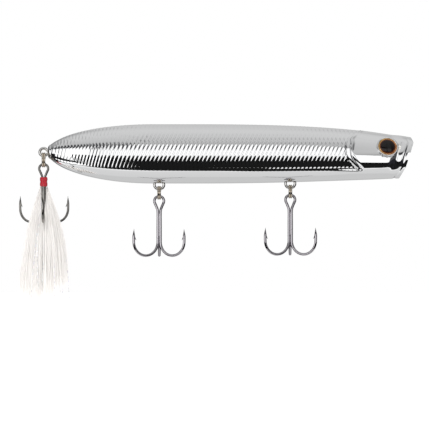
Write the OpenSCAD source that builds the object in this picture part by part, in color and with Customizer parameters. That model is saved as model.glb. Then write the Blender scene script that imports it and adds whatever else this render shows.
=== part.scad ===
// Topwater popper: a hollow two-piece lure body with a cupped mouth, three treble
// hooks on split rings, a dressed tail hook and a knocker and rattles inside.
// Millimetres. +X points to the nose, +Y to the lure's left side, +Z up.
// The origin is the centre of the line tie's eye, inside the mouth.

/* [Body] */
// Length of the body from the upper lip to the tail nub
body_length = 121.4; // [96:0.1:150]
// Greatest height of the body
body_height = 19.9; // [17:0.1:24]
// Greatest width of the body
body_width = 16.4; // [14.5:0.1:20]
// Height of the body where it meets the mouth
nose_height = 13.7; // [12.5:0.1:16]
// Width of the body where it meets the mouth
nose_width = 12.9; // [12.2:0.1:14.5]
// How far the upper lip reaches ahead of the line tie
nose_reach = 4; // [3.4:0.1:5]
// Length over which the tail rounds down to its nub
tail_taper = 35; // [26:1:40]
// Height of the blunt nub at the tail end
tail_nub = 4.8; // [4.2:0.1:7.2]
// Thickness of the moulded shell's wall
wall = 1.4; // [1:0.1:1.8]

/* [Mouth] */
// Width of the cupped mouth at the lip
cup_width = 10.9; // [10:0.1:11.2]
// Height of the cupped mouth at the lip
cup_height = 11.6; // [10:0.1:11.8]
// Depth of the cup, square to the lip
cup_depth = 6.2; // [5:0.1:7]
// Lean of the lip: the upper lip is ahead of the chin
mouth_rake = 17.6; // [10:0.2:22]

/* [Eyes] */
// Diameter of each eye
eye_d = 6.2; // [5:0.1:7]
// Distance of the eyes behind the line tie
eye_back = 4.65; // [3.5:0.05:9]
// Height of the eyes above the line tie
eye_up = 3.6; // [2.5:0.1:4]

/* [Wire] */
// Wire of the line tie and of the hook hangers
hanger_wire = 0.9; // [0.8:0.05:1]
// Outer diameter of the line tie's eye and of the belly hangers' eyes
hanger_eye = 4.05; // [3.8:0.05:4.4]
// Outer diameter of the tail hanger's eye
tail_hanger_eye = 3.5; // [3.4:0.05:4.2]
// Wire of the split rings
ring_wire = 0.6; // [0.5:0.05:0.65]
// Outer diameter of the belly hooks' split rings
belly_ring_od = 4.6; // [4.5:0.1:5.6]
// Outer diameter of the tail hook's split ring
tail_ring_od = 5; // [4.7:0.1:5.6]

/* [Hooks] */
// Distance of the front belly hanger behind the line tie
front_hanger_back = 36.8; // [30:0.2:40]
// Distance of the rear belly hanger ahead of the tail nub
rear_hanger_ahead = 37; // [30:0.2:40]
// Wire of the belly treble hooks
belly_hook_wire = 0.88; // [0.75:0.01:0.95]
// Outer width of the eye of a belly treble hook
belly_hook_eye = 4.05; // [3.9:0.05:4.5]
// Length of a belly treble hook
belly_hook_length = 20.6; // [17:0.1:23]
// Reach of each point of a belly treble from its shank
belly_hook_reach = 10.1; // [8.5:0.1:11.5]
// Wire of the tail treble hook
tail_hook_wire = 0.78; // [0.7:0.01:0.88]
// Outer width of the eye of the tail treble hook
tail_hook_eye = 3.75; // [3.7:0.05:4.3]
// Length of the tail treble hook
tail_hook_length = 20; // [17:0.1:22]
// Reach of each point of the tail treble from its shank
tail_hook_reach = 9.6; // [8.5:0.1:11]

/* [Tail dressing] */
// Outer diameter of the thread that binds the feathers
wrap_d = 2.6; // [2.5:0.1:3.2]
// Length of the thread binding along the shank
wrap_length = 3.2; // [2.5:0.1:4]
// Length of the feathers below the thread binding
feather_length = 39.6; // [30:0.1:44]
// Greatest width of the feather skirt
feather_width = 17.4; // [13:0.1:19]

/* [Inside] */
// Diameter of the large knocker ball
knocker_d = 7; // [5.5:0.1:7.4]
// Diameter of the two small rattle balls
rattle_d = 4; // [3:0.1:4.6]
// Diameter of the cylindrical tail weight
weight_d = 6.6; // [5:0.1:7]
// Length of the tail weight
weight_length = 8.6; // [7:0.1:9.5]

/* [Hidden] */

$fn = 48;
section_power = 2.25;   // fullness of the body's cross-section
section_steps = 14;     // facets from the back to the belly
wire_sides = 8;         // facets round a wire
clear = 0.05;           // running gap between wires that hang in each other
seat_gap = 0.06;        // gap round a piece that is clamped in the shells
slide_gap = 0.3;        // gap round a ball in its tube
braze_gap = 0.012;      // half the gap between the brazed wires of a treble
cut = 1;                // how far a cutter runs past what it cuts

// ---- body shape -----------------------------------------------------------
tail_x = nose_reach - body_length;
shoulder_x = nose_reach - 0.6 * body_length;  // where the taper to the nose begins
mid_rise = 1.42;        // the body's middle line above the line tie
tail_rise = 2.0;        // the tail nub's middle above the line tie

function tail_share(x) = min(1, max(0, (x - tail_x) / tail_taper));
function nose_share(x) = min(1.1, max(0, (x - shoulder_x) / (nose_reach - shoulder_x)));
function swell(x) = max(tail_nub / body_height, sqrt(1 - pow(1 - tail_share(x), 2)));
function axis_z(x) = mid_rise + (tail_rise - mid_rise) * pow(1 - tail_share(x), 2)
    - mid_rise * pow(nose_share(x), 4);
function half_h(x) = body_height / 2 * swell(x)
    - (body_height - nose_height) / 2 * pow(nose_share(x), 2.3);
function half_w(x) = body_width / 2 * swell(x)
    - (body_width - nose_width) / 2 * pow(nose_share(x), 2.3);
function belly_z(x) = axis_z(x) - half_h(x);
function power(v, p) = sign(v) * pow(abs(v), p);

// The left half of one cross-section, from the back round to the belly
function half_section(x, inset) = [for (i = [0:section_steps])
    let (a = 180 * i / section_steps)
    [x,
     i == 0 || i == section_steps ? 0 : (half_w(x) - inset) * pow(sin(a), 2 / section_power),
     axis_z(x) + (half_h(x) - inset) * power(cos(a), 2 / section_power)]];

// A closed left half of the body between the stations xs
module half_loft(xs, inset = 0) {
    n = section_steps + 1;
    m = len(xs);
    polyhedron(
        points = [for (x = xs) each half_section(x, inset)],
        faces = concat(
            [for (j = [0:m - 2], i = [0:n - 2]) each [
                [j * n + i + 1, (j + 1) * n + i + 1, (j + 1) * n + i],
                [j * n + i + 1, (j + 1) * n + i, j * n + i]]],
            [for (j = [0:m - 2]) each [
                [j * n, (j + 1) * n, (j + 1) * n + n - 1],
                [j * n, (j + 1) * n + n - 1, j * n + n - 1]]],
            [[for (i = [n - 1:-1:0]) i], [for (i = [0:n - 1]) (m - 1) * n + i]]));
}

// Stations of the outside: close together where the tail rounds
body_stations = concat(
    [tail_x, tail_x + 0.045 * tail_taper],
    [for (a = [20:10:90]) tail_x + tail_taper * (1 - cos(a))],
    [for (s = [0.15:0.17:1]) tail_x + tail_taper + s * (nose_reach - tail_x - tail_taper)],
    [nose_reach + cut]);

// ---- places along the body --------------------------------------------------
front_x = -front_hanger_back;
rear_x = tail_x + rear_hanger_ahead;
tail_eye_x = tail_x - 1.4;
hanger_drop = 0.37;     // a belly eye's centre below the belly
front_z = belly_z(front_x) - hanger_drop;
rear_z = belly_z(rear_x) - hanger_drop;
tail_eye_z = tail_rise - 0.1;
anchor_span = 6.4;      // from a hanger's outer eye to the eye held inside
tie_span = 8.4;         // the same for the line tie

anchor_half = hanger_eye / 2 + seat_gap + wall;   // half the length of a hanger's block
head_x = -tie_span - anchor_half;                 // back face of the solid head
weight_front = tail_eye_x + anchor_span + hanger_eye / 2 + 0.7 + weight_length;
weight_x = weight_front - weight_length / 2;
weight_z = axis_z(weight_x) - 0.3;

// Chambers between the bulkheads: [rear end, front end]
rear_chamber = [weight_front + wall, rear_x - anchor_half];
mid_chamber = [rear_x + anchor_half, front_x - anchor_half];
front_chamber = [front_x + anchor_half, head_x];

function middle(c) = (c[0] + c[1]) / 2;

// ---- small tools --------------------------------------------------------------
function unit(v) = v / norm(v);
function reversed(list) = [for (i = [len(list) - 1:-1:0]) list[i]];

// Faces of a closed tube of n rings, each of as many points as it has sides
function tube_faces(n, sides) = concat(
    [[for (k = [0:sides - 1]) k], [for (k = [sides - 1:-1:0]) (n - 1) * sides + k]],
    [for (i = [0:n - 2], k = [0:sides - 1])
        let (p = i * sides + k, q = i * sides + (k + 1) % sides)
        each [[p, p + sides, q + sides], [p, q + sides, q]]]);

// A round wire along a path. ref is a direction that the path never runs along.
module wire(path, radii, ref, sides = wire_sides) {
    n = len(path);
    points = [for (i = [0:n - 1])
        let (t = unit(path[min(i + 1, n - 1)] - path[max(i - 1, 0)]),
             a = unit(ref - (ref * t) * t),
             b = cross(t, a))
        for (k = [0:sides - 1])
            path[i] + radii[i] * (cos(360 * k / sides) * a + sin(360 * k / sides) * b)];
    polyhedron(points, tube_faces(n, sides));
}

module even_wire(path, d, ref) {
    wire(path, [for (p = path) d / 2], ref);
}

// ---- hangers and line tie -------------------------------------------------------
neck_half = hanger_wire / 2 + 0.03;   // half the distance between the two neck strands
neck_bend = 0.6;                      // inner radius of the bend from a neck to an eye

function eye_radius(od) = (od - hanger_wire) / 2;
function bend_u(r) = sqrt(pow(r + neck_bend, 2) - pow(neck_half + neck_bend, 2));
function bend_angle(r) = atan2(neck_half + neck_bend, bend_u(r));

// Half of a wire form, from the gap in its far eye round to the tip of its near eye
function eye_half(r) = [for (a = [180:-15:bend_angle(r) + 6]) r * [cos(a), sin(a)]];
function bend_half(r) = [for (s = [0:0.34:1.02])
    let (a = 180 + bend_angle(r) + s * (90 - bend_angle(r)))
    [bend_u(r), neck_half + neck_bend] + neck_bend * [cos(a), sin(a)]];
function form_side(near_r, far_r, span) = concat(
    eye_half(near_r), bend_half(near_r),
    [for (p = reversed(bend_half(far_r))) [span - p[0], p[1]]],
    [for (p = reversed(eye_half(far_r))) if (p[0] > -far_r + 0.01) [span - p[0], p[1]]]);
function form_path(near_r, far_r, span) =
    let (side = form_side(near_r, far_r, span), n = len(side))
    concat([for (p = reversed(side)) p], [for (i = [1:n - 1]) [side[i][0], -side[i][1]]]);

// A wire bent into two eyes: the near one outside at the origin, the far one along +X
module wire_form(near_od, span) {
    path = form_path(eye_radius(near_od), eye_radius(hanger_eye), span);
    even_wire([for (p = path) [p[0], 0, p[1]]], hanger_wire, [0, 1, 0]);
}

module at_front_hanger() { translate([front_x, 0, front_z]) rotate([0, -90, 0]) children(); }
module at_rear_hanger() { translate([rear_x, 0, rear_z]) rotate([0, -90, 0]) children(); }
module at_tail_hanger() { translate([tail_eye_x, 0, tail_eye_z]) children(); }
module at_line_tie() { rotate([0, 180, 0]) children(); }

// The room that a wire form needs, cut half into each shell
module form_pocket(near_od, span) {
    depth = hanger_wire + 2 * seat_gap;
    neck = 2 * neck_half + depth;
    rotate([90, 0, 0]) {
        cylinder(d = near_od + 2 * seat_gap, h = depth, center = true);
        translate([span, 0, 0]) cylinder(d = hanger_eye + 2 * seat_gap, h = depth, center = true);
        translate([span / 2, 0, 0]) cube([span, neck, depth], center = true);
    }
}

peg_r = hanger_eye / 2 - hanger_wire - seat_gap;
peg_reach = 2.2;        // how far a peg stands into the right shell

module anchor_peg(span, r = peg_r, reach = peg_reach) {
    translate([span, 0, 0]) rotate([90, 0, 0])
        translate([0, 0, -hanger_wire]) cylinder(r = r, h = hanger_wire + reach);
}

module line_tie() {
    color("silver") at_line_tie() wire_form(hanger_eye, tie_span);
}

module front_belly_hanger() {
    color("silver") at_front_hanger() wire_form(hanger_eye, anchor_span);
}

module rear_belly_hanger() {
    color("silver") at_rear_hanger() wire_form(hanger_eye, anchor_span);
}

module tail_hanger() {
    color("silver") at_tail_hanger() wire_form(tail_hanger_eye, anchor_span);
}

// ---- mouth ------------------------------------------------------------------------
lip_z = 5;              // height of the foremost point of the upper lip
chin_break_z = -3.2;    // below this the lip leans further back
chin_rake = 30;
brow_rake = 23;         // the upper lip rounds back above lip_z
cup_z = -0.25;          // height of the cup's middle

function lip_x(z) = nose_reach - (lip_z - z) * tan(mouth_rake);

// Everything ahead of the lip
module mouth_trim() {
    top = lip_z + 8;
    low = chin_break_z - 8;
    rotate([90, 0, 0]) linear_extrude(height = 2 * body_width, center = true)
        polygon([
            [nose_reach - (top - lip_z) * tan(brow_rake), top],
            [nose_reach, lip_z],
            [lip_x(chin_break_z), chin_break_z],
            [lip_x(chin_break_z) - (chin_break_z - low) * tan(chin_rake), low],
            [nose_reach + 8, low],
            [nose_reach + 8, top]]);
}

// The cup's hollow: a deep oval bowl, square to the lip
module cup_void() {
    sides = 28;
    shares = [-0.35, 0, 0.3, 0.55, 0.75, 0.9, 0.985];
    function shrink(s) = s <= 0 ? 1 : pow(1 - pow(s, 4), 1 / 4);
    n = len(shares);
    translate([lip_x(cup_z), 0, cup_z]) rotate([0, mouth_rake, 0])
        polyhedron(
            points = [for (s = shares, k = [0:sides - 1])
                let (a = 360 * k / sides)
                [-s * cup_depth,
                 cup_width / 2 * shrink(s) * power(sin(a), 2 / section_power),
                 cup_height / 2 * shrink(s) * power(cos(a), 2 / section_power)]],
            faces = tube_faces(n, sides));
}

// ---- eyes ---------------------------------------------------------------------------
eye_x = -eye_back;
eye_rel = (eye_up - axis_z(eye_x)) / half_h(eye_x);
eye_side = pow(1 - pow(eye_rel, section_power), 1 / section_power);
eye_y = half_w(eye_x) * eye_side;
eye_tilt = atan2(pow(eye_rel, section_power - 1) / half_h(eye_x),
                 pow(eye_side, section_power - 1) / half_w(eye_x));
eye_recess = 0.7;
foil_t = 0.25;
dome_h = 1.3;

// +Z of what is drawn points out of the left side of the head
module at_left_eye() {
    translate([eye_x, eye_y, eye_up]) rotate([eye_tilt - 90, 0, 0])
        translate([0, 0, -eye_recess]) children();
}

module eye_foil() {
    translate([0, 0, 0.02]) cylinder(d = eye_d, h = foil_t);
}

module eye_dome() {
    dome_r = (pow(eye_d / 2, 2) + pow(dome_h, 2)) / (2 * dome_h);
    translate([0, 0, foil_t + 0.04]) intersection() {
        translate([0, 0, dome_h - dome_r]) sphere(r = dome_r);
        cylinder(d = eye_d, h = dome_h + cut);
    }
}

module left_eye_foil() { color("goldenrod") at_left_eye() eye_foil(); }
module left_eye_dome() { color("black") at_left_eye() eye_dome(); }
module right_eye_foil() { color("goldenrod") mirror([0, 1, 0]) at_left_eye() eye_foil(); }
module right_eye_dome() { color("black") mirror([0, 1, 0]) at_left_eye() eye_dome(); }

// ---- inside: tubes, balls and tail weight ----------------------------------------------
tube_wall = 0.9;
knocker_z = axis_z(middle(mid_chamber));
front_rattle_z = axis_z(middle(front_chamber));
rear_rattle_z = axis_z(middle(rear_chamber));

module tube(c, z, d, over = 0) {
    translate([c[0] - over, 0, z]) rotate([0, 90, 0])
        cylinder(d = d, h = c[1] - c[0] + 2 * over);
}

module chamber(c, z, ball_d) {
    steps = max(3, ceil((c[1] - c[0]) / 6));
    difference() {
        half_loft([for (s = [0:steps]) c[0] + (c[1] - c[0]) * s / steps], wall);
        tube(c, z, ball_d + 2 * slide_gap + 2 * tube_wall, cut);
    }
    tube(c, z, ball_d + 2 * slide_gap);
}

module ball(c, z, d) { translate([middle(c), 0, z]) sphere(d = d); }

module knocker_ball() { color("darkgoldenrod") ball(mid_chamber, knocker_z, knocker_d); }
module front_rattle_ball() { color("dimgray") ball(front_chamber, front_rattle_z, rattle_d); }
module rear_rattle_ball() { color("dimgray") ball(rear_chamber, rear_rattle_z, rattle_d); }

module weight_shape(grow) {
    translate([weight_x, 0, weight_z]) rotate([0, 90, 0])
        cylinder(d = weight_d + 2 * grow, h = weight_length + 2 * grow, center = true);
}

module tail_weight() { color("gray") weight_shape(0); }

// ---- shells ---------------------------------------------------------------------------
module all_forms() {
    at_line_tie() form_pocket(hanger_eye, tie_span);
    at_front_hanger() form_pocket(hanger_eye, anchor_span);
    at_rear_hanger() form_pocket(hanger_eye, anchor_span);
    at_tail_hanger() form_pocket(tail_hanger_eye, anchor_span);
}

module all_pegs(r = peg_r, reach = peg_reach) {
    mirror([0, 1, 0]) at_line_tie() mirror([0, 1, 0]) anchor_peg(tie_span, r, reach);
    at_front_hanger() anchor_peg(anchor_span, r, reach);
    at_rear_hanger() anchor_peg(anchor_span, r, reach);
    at_tail_hanger() anchor_peg(anchor_span, r, reach);
}

// The left shell before its pegs; the right one is its mirror image
module half_shell() {
    difference() {
        half_loft(body_stations);
        mouth_trim();
        cup_void();
        chamber(rear_chamber, rear_rattle_z, rattle_d);
        chamber(mid_chamber, knocker_z, knocker_d);
        chamber(front_chamber, front_rattle_z, rattle_d);
        weight_shape(seat_gap);
        all_forms();
        at_left_eye() cylinder(d = eye_d + 2 * seat_gap, h = 3);
    }
}

module shell_left() {
    color("gainsboro") {
        half_shell();
        all_pegs();
    }
}

module shell_right() {
    color("gainsboro") difference() {
        mirror([0, 1, 0]) half_shell();
        all_pegs(peg_r + seat_gap, peg_reach + seat_gap);
    }
}

// ---- split rings -------------------------------------------------------------------------
ring_step = ring_wire / 2 + 0.01;   // each turn's distance from the ring's middle
ring_gap = 25;                      // half the angle left open where the turns cross over

// How far the two turns of a ring lie from the centre of the eye that they hang in or hold
function hang(inner_r) =
    sqrt(pow(inner_r - ring_wire / 2 - clear, 2) - pow(ring_step, 2));
function ring_r(od) = (od - ring_wire) / 2;
function ring_drop(eye_od, od) = hang(eye_od / 2 - hanger_wire) + ring_r(od);
function cross_over(a) =
    let (s = min(1, max(0, (a - 360 + ring_gap) / (2 * ring_gap)))) s * s * (3 - 2 * s);

// Two turns of wire side by side, in the YZ plane, crossing over on the left side
module split_ring(od) {
    steps = 44;
    path = [for (i = [0:steps])
        let (a = ring_gap + (720 - 2 * ring_gap) * i / steps)
        [ring_step * (2 * cross_over(a) - 1), ring_r(od) * cos(a), ring_r(od) * sin(a)]];
    even_wire(path, ring_wire, [1, 0, 0]);
}

front_ring_z = front_z - ring_drop(hanger_eye, belly_ring_od);
rear_ring_z = rear_z - ring_drop(hanger_eye, belly_ring_od);
tail_ring_z = tail_eye_z - ring_drop(tail_hanger_eye, tail_ring_od);

module front_belly_ring() {
    color("tan") translate([front_x, 0, front_ring_z]) split_ring(belly_ring_od);
}

module rear_belly_ring() {
    color("tan") translate([rear_x, 0, rear_ring_z]) split_ring(belly_ring_od);
}

module tail_ring() {
    color("tan") translate([tail_eye_x, 0, tail_ring_z]) split_ring(tail_ring_od);
}

// ---- treble hooks ----------------------------------------------------------------------------
// A hook's values: [wire, outer width of its eye, length, reach]
belly_hook = [belly_hook_wire, belly_hook_eye, belly_hook_length, belly_hook_reach];
tail_hook = [tail_hook_wire, tail_hook_eye, tail_hook_length, tail_hook_reach];
point_rise = 4.3;       // a point's height above the middle of its bend
neck_share = 2.2;       // from an eye's centre to its neck, in eye radii

function eye_r(h) = (h[1] - h[0]) / 2;
function strand_r(h) = (h[0] / 2 + braze_gap) / cos(30);
function bend_r(h) = (h[3] - h[0] / 2 - strand_r(h)) / 2;
function bend_z(h) = eye_r(h) + h[0] - h[2] + bend_r(h);
function neck_z(h) = -neck_share * eye_r(h);
function polar(r, az, z) = [r * cos(az), r * sin(az), z];

// One prong from its neck down, round and up to its point; the eye's centre is at z = 0
function prong(h, az) =
    let (s = strand_r(h), b = bend_r(h), c = bend_z(h), out = s + 2 * b)
    concat(
        [polar(s, az, neck_z(h)), polar(s, az, c)],
        [for (a = [195:15:360]) polar(s + b + b * cos(a), az, c + b * sin(a))],
        [polar(out, az, c + 0.35 * point_rise),
         polar(out - 0.03, az, c + 0.7 * point_rise),
         polar(out - 0.1, az, c + point_rise)]);
function prong_radii(h, az) =
    let (n = len(prong(h, az)))
    [for (i = [0:n - 1]) i < n - 2 ? h[0] / 2 : i == n - 2 ? h[0] / 4 : 0.05];

// A barb: a sliver that stands off the inner side of the point
module barb(h, az) {
    out = strand_r(h) + 2 * bend_r(h);
    lift = 0.4 * point_rise;
    rotate([0, 0, az]) translate([out - 0.08, 0, bend_z(h) + lift])
        rotate([0, 180 + 28, 0]) cylinder(h = 1.5, r1 = 0.28, r2 = 0.05, $fn = 16);
}

// Two prongs bent from one wire, whose loop is the hook's eye
module treble_pair(h, side) {
    r = eye_r(h);
    az = [side * 30, side * 150];
    eye = [for (a = [-30:20:210]) [r * cos(a), 0, r * sin(a)]];
    path = concat(reversed(prong(h, az[0])), eye, prong(h, az[1]));
    radii = concat(reversed(prong_radii(h, az[0])), [for (p = eye) h[0] / 2],
                   prong_radii(h, az[1]));
    wire(path, radii, [0, 1, 0]);
    for (a = az) barb(h, a);
}

// The third prong, brazed into the groove of the pair
module treble_single(h, side) {
    az = -side * 90;
    wire(prong(h, az), prong_radii(h, az), [1, 0, 0]);
    barb(h, az);
}

// +1 where the third prong points to the right side, -1 where it points to the left
belly_side = -1;
tail_side = 1;

function hook_drop(h, ring) = ring_r(ring) + hang(h[1] / 2 - h[0]);
module at_front_treble() {
    translate([front_x, 0, front_ring_z - hook_drop(belly_hook, belly_ring_od)]) children();
}
module at_rear_treble() {
    translate([rear_x, 0, rear_ring_z - hook_drop(belly_hook, belly_ring_od)]) children();
}
module at_tail_treble() {
    translate([tail_eye_x, 0, tail_ring_z - hook_drop(tail_hook, tail_ring_od)]) children();
}

module front_treble_pair() {
    color("dimgray") at_front_treble() treble_pair(belly_hook, belly_side);
}
module front_treble_single() {
    color("dimgray") at_front_treble() treble_single(belly_hook, belly_side);
}
module rear_treble_pair() {
    color("dimgray") at_rear_treble() treble_pair(belly_hook, belly_side);
}
module rear_treble_single() {
    color("dimgray") at_rear_treble() treble_single(belly_hook, belly_side);
}
module tail_treble_pair() {
    color("black") at_tail_treble() treble_pair(tail_hook, tail_side);
}
module tail_treble_single() {
    color("black") at_tail_treble() treble_single(tail_hook, tail_side);
}

// ---- tail dressing -----------------------------------------------------------------------------
wrap_rise = 0.5;        // how far the thread reaches up over the parting strands
wrap_top = neck_z(tail_hook) + wrap_rise;
wrap_low = wrap_top - wrap_length;
bundle_r = strand_r(tail_hook) + tail_hook_wire / 2;  // the three strands together
parting_r = bundle_r + wrap_rise * (eye_r(tail_hook) - strand_r(tail_hook)) / -neck_z(tail_hook);
skirt_top = bend_z(tail_hook) - bend_r(tail_hook) - tail_hook_wire / 2 - 0.6;
skirt_low = wrap_low - feather_length;
blade_azimuths = [-30, 90, 210];    // between the prongs

module tail_thread_wrap() {
    r = wrap_d / 2;
    inner = bundle_r + 0.03;
    bulge = wrap_length / 2;
    color("crimson") at_tail_treble() rotate_extrude()
        polygon([[parting_r + 0.05, wrap_top], [r - 0.05, wrap_top], [r, wrap_top - 0.3 * bulge],
                 [r, wrap_top - 0.75 * bulge], [r - 0.1, wrap_top - bulge],
                 [r, wrap_top - 1.25 * bulge], [r, wrap_low + 0.3 * bulge],
                 [r - 0.15, wrap_low], [inner, wrap_low], [inner, wrap_top - wrap_rise]]);
}

// Feathers: three blades between the prongs that merge into one skirt below the bends
module tail_feathers() {
    r = feather_width / 2;
    h = skirt_top - skirt_low;
    color("whitesmoke") at_tail_treble() {
        rotate_extrude()
            polygon([[0, skirt_top], [0.62 * r, skirt_top], [0.97 * r, skirt_top - 0.35 * h],
                     [r, skirt_top - 0.6 * h], [0.85 * r, skirt_top - 0.85 * h],
                     [0.5 * r, skirt_low], [0, skirt_low]]);
        for (az = blade_azimuths) rotate([0, 0, az]) hull() {
            translate([bundle_r + 0.2, -0.25, wrap_low - 0.4]) cube([0.5, 0.5, 0.2]);
            translate([bundle_r + 0.2, -0.8, skirt_top - 1]) cube([0.55 * r - bundle_r, 1.6, 0.6]);
        }
    }
}

// Flash: thin strips that run down outside the feathers
module tail_flash() {
    r = feather_width / 2;
    h = skirt_top - skirt_low;
    drops = [wrap_low - 0.3, skirt_top - 0.35 * h, skirt_top - 0.6 * h, skirt_top - 0.85 * h];
    reach = [bundle_r + 0.55, 0.97 * r + 0.4, r + 0.4, 0.85 * r + 0.4];
    color("lavender") at_tail_treble()
        for (az = blade_azimuths, lean = [-30, 30])
            wire([for (i = [0:3]) polar(reach[i], az + lean, drops[i])],
                 [0.12, 0.15, 0.15, 0.1],
                 [-sin(az + lean), cos(az + lean), 0], 6);
}

shell_left();
shell_right();
left_eye_foil();
left_eye_dome();
right_eye_foil();
right_eye_dome();
line_tie();
front_belly_hanger();
rear_belly_hanger();
tail_hanger();
tail_weight();
knocker_ball();
front_rattle_ball();
rear_rattle_ball();
front_belly_ring();
rear_belly_ring();
tail_ring();
front_treble_pair();
front_treble_single();
rear_treble_pair();
rear_treble_single();
tail_treble_pair();
tail_treble_single();
tail_thread_wrap();
tail_feathers();
tail_flash();
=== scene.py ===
import math
import random
from contextlib import contextmanager

import bmesh
import bpy
import numpy as np
from bpy.props import FloatProperty, FloatVectorProperty, IntProperty, PointerProperty
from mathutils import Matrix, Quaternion, Vector


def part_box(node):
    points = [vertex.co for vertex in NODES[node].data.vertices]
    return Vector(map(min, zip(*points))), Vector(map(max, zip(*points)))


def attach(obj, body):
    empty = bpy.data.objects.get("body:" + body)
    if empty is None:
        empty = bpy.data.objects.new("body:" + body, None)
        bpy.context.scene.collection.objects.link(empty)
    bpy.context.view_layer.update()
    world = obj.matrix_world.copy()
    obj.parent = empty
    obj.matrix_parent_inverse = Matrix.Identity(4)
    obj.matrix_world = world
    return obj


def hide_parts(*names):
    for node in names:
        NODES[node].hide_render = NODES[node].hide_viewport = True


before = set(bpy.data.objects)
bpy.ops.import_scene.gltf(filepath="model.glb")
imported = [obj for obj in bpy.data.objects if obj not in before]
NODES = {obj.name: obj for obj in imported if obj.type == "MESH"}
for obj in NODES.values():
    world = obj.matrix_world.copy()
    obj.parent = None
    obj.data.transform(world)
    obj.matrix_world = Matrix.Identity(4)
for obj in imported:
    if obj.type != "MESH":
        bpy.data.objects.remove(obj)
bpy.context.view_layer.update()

bl_info = {
    "name": "Topwater popper",
    "version": (1, 0, 0),
    "blender": (4, 5, 0),
    "location": "View3D > Sidebar > Popper",
    "description": "Builds the plated body, eyes, wire, rings, hooks and dressing of a popper",
    "category": "Object",
}

MM = 0.001
LOW, HIGH = 0, 1


# ---------------------------------------------------------------- sizes and colours

def node_span(node, axis):
    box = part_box(node)
    return box[HIGH][axis] - box[LOW][axis]


def length(name, default_mm, description):
    return FloatProperty(name=name, default=default_mm * MM, unit="LENGTH",
                         precision=5, description=description)


def colour(name, default, description):
    return FloatVectorProperty(name=name, subtype="COLOR", size=3, default=default,
                               min=0, max=1, description=description)


class BodySizes(bpy.types.PropertyGroup):
    height: FloatProperty(name="Height", unit="LENGTH", default=node_span("shell_left", 2),
                          description="Greatest height of the body")
    half_width: FloatProperty(name="Half width", unit="LENGTH",
                              default=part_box("shell_left")[HIGH][1],
                              description="From the middle plane to the widest point")
    nose_height: length("Nose height", 13.7, "Height where the body meets the mouth")
    nose_width: length("Nose width", 12.9, "Width where the body meets the mouth")
    tail_taper: length("Tail taper", 35, "Length over which the tail rounds down")
    tail_nub: length("Tail nub", 4.8, "Height of the blunt nub at the tail")
    cup_width: length("Cup width", 10.9, "Width of the mouth at the lip")
    cup_height: length("Cup height", 11.6, "Height of the mouth at the lip")
    cup_depth: length("Cup depth", 6.2, "Depth of the mouth, square to the lip")
    scale_pitch: length("Scale pitch", 1.34, "Distance between the scale ridges")
    scale_height: length("Scale height", 0.11, "Height of a scale ridge")
    plate_step: length("Plate step", 0.2, "How far head and belly stand off the scales")
    columns: IntProperty(name="Columns", default=1150, description="Facets along the body")
    rows: IntProperty(name="Rows", default=74, description="Facets from the back to the belly")


class WireSizes(bpy.types.PropertyGroup):
    hanger_wire: FloatProperty(name="Hanger wire", unit="LENGTH",
                               default=node_span("line_tie", 1),
                               description="Wire of the line tie and the hangers")
    ring_wire: length("Ring wire", 0.6, "Wire of the split rings")
    belly_hook_wire: length("Belly hook wire", 0.88, "Wire of the belly trebles")
    tail_hook_wire: length("Tail hook wire", 0.78, "Wire of the tail treble")


class DressingSizes(bpy.types.PropertyGroup):
    thread: length("Thread", 0.24, "Thickness of the binding thread")
    plumes: IntProperty(name="Plumes", default=9, description="Feathers round the shank")
    fibres: IntProperty(name="Feather fibres", default=3200, description="Fine barbs in all")
    flash: IntProperty(name="Flash strands", default=22, description="Strands of flash")


class Finishes(bpy.types.PropertyGroup):
    chrome: colour("Plating", (0.93, 0.935, 0.94), "Reflection of the plated body")
    wire: colour("Wire", (0.78, 0.77, 0.75), "Stainless wire")
    ring: colour("Split ring", (0.78, 0.70, 0.58), "Nickel with a warm cast")
    belly_hook: colour("Belly hooks", (0.52, 0.50, 0.53), "Black nickel")
    tail_hook: colour("Tail hook", (0.34, 0.33, 0.31), "Blackened steel")
    iris: colour("Iris", (0.92, 0.62, 0.20), "Gold ring of the eye")
    iris_front: colour("Iris toward the nose", (0.80, 0.30, 0.11), "Copper side of the eye ring")
    thread: colour("Thread", (0.60, 0.006, 0.025), "Red binding thread")
    feather: colour("Feather", (0.955, 0.94, 0.925), "Undyed white feather")
    flash: colour("Flash", (0.80, 0.78, 0.86), "Pearl film")


# ---------------------------------------------------------------- small tools

def corners(node):
    """The lowest and the highest corner of a CAD node's box."""
    low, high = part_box(node)
    return Vector(low), Vector(high)


def middle(node):
    low, high = corners(node)
    return (low + high) / 2


def deselect_all():
    if bpy.context.mode != "OBJECT":
        bpy.ops.object.mode_set(mode="OBJECT")
    bpy.ops.object.select_all(action="DESELECT")


def make_active(piece):
    deselect_all()
    piece.select_set(True)
    bpy.context.view_layer.objects.active = piece


def added(operator, **values):
    """Runs an operator that adds an object, with nothing else selected, and returns the object."""
    deselect_all()
    operator(**values)
    return bpy.context.view_layer.objects.active


def twin(source):
    """A copy of an object, with its own mesh."""
    copy = source.copy()
    copy.data = source.data.copy()
    bpy.context.scene.collection.objects.link(copy)
    return copy


@contextmanager
def edit_mode(piece):
    """Opens a piece in edit mode with all of it selected."""
    make_active(piece)
    bpy.ops.object.mode_set(mode="EDIT")
    bpy.ops.mesh.select_all(action="SELECT")
    yield
    bpy.ops.object.mode_set(mode="OBJECT")


def settle(piece, name):
    """Names a new piece and puts its place into its mesh."""
    make_active(piece)
    piece.name = piece.data.name = name
    bpy.ops.object.transform_apply(location=True, rotation=True, scale=True)
    return piece


def join(pieces, name):
    make_active(pieces[0])
    for piece in pieces[1:]:
        piece.select_set(True)
    bpy.ops.object.join()
    return settle(bpy.context.view_layer.objects.active, name)


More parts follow.
